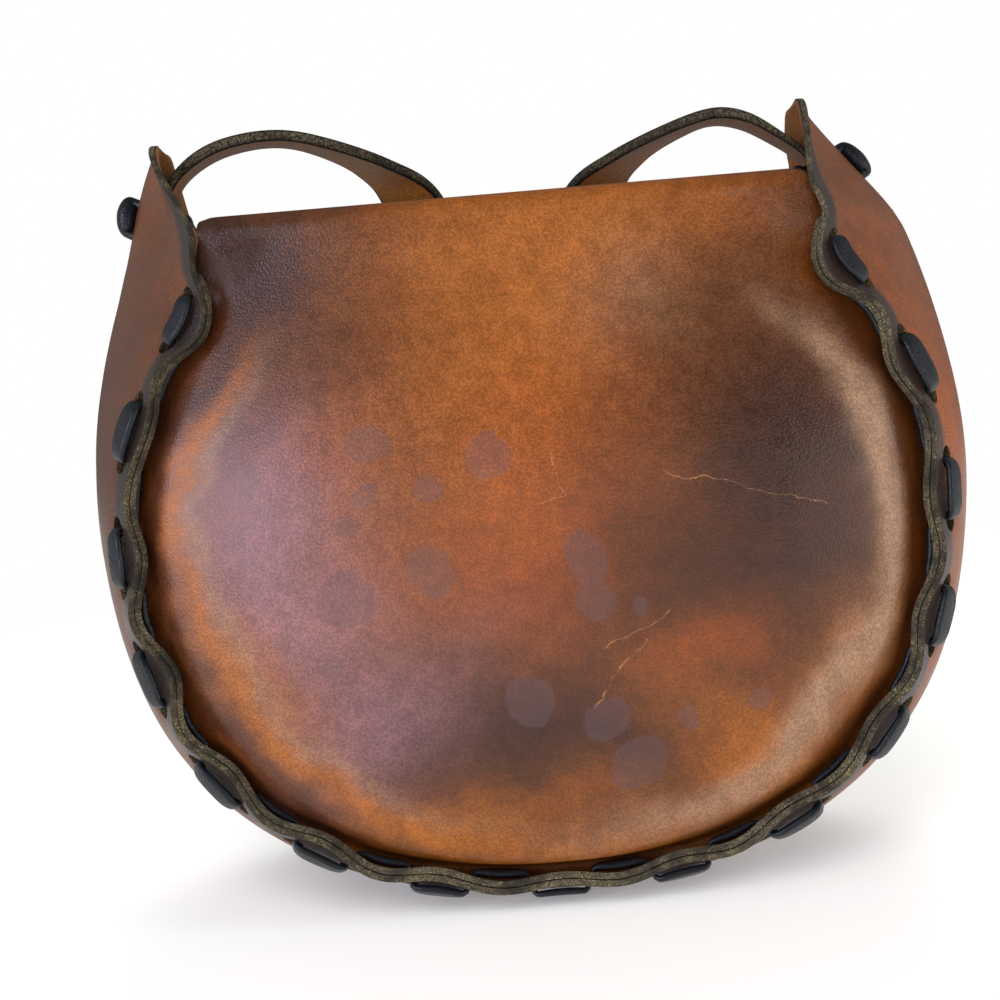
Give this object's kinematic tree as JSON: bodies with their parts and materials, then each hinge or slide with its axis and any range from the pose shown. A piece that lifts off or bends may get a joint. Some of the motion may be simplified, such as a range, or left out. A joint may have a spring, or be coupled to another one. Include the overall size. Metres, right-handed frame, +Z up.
{
  "type": "leather shoulder bag",
  "caption": "Rounded leather shoulder bag with moulded panels laced to a bellied gusset, an opening flap and a tied shoulder strap.",
  "frame": {"origin": "centre of the bag's flat resting face, midway between the two laced rims", "axes": "+Z up, +X along the width of the bag, +Y towards the flap side; the pictured back panel faces -Y"},
  "size_m": [0.3166, 0.1429, 0.2748],
  "materials": {
    "saddle_leather": "pebbled, waxed, burnished saddle brown",
    "black_thong": "blue-black dyed thong",
    "strap_leather": "dark brown, dyed edges"
  },
  "bodies": {
    "bag": {"gusset": "saddle_leather", "back_panel": "saddle_leather", "front_panel": "saddle_leather", "back_lace": "black_thong", "front_lace": "black_thong", "strap_tie_left": "black_thong", "strap_tie_right": "black_thong"},
    "flap": {"flap": "saddle_leather"},
    "strap": {"strap": "strap_leather"}
  },
  "joints": [
    {"name": "flap_hinge", "type": "hinge", "parent": "bag", "child": "flap", "pos_m": [0, -0.03924, 0.23524], "axis": [1, 0, 0], "range_deg": [0, 105], "deforming": ["strap"]},
    {"name": "strap_swing", "type": "hinge", "parent": "bag", "child": "strap", "pos_m": [0, 0, 0.25], "axis": [1, 0, 0], "range_deg": [0, 110]}
  ]
}
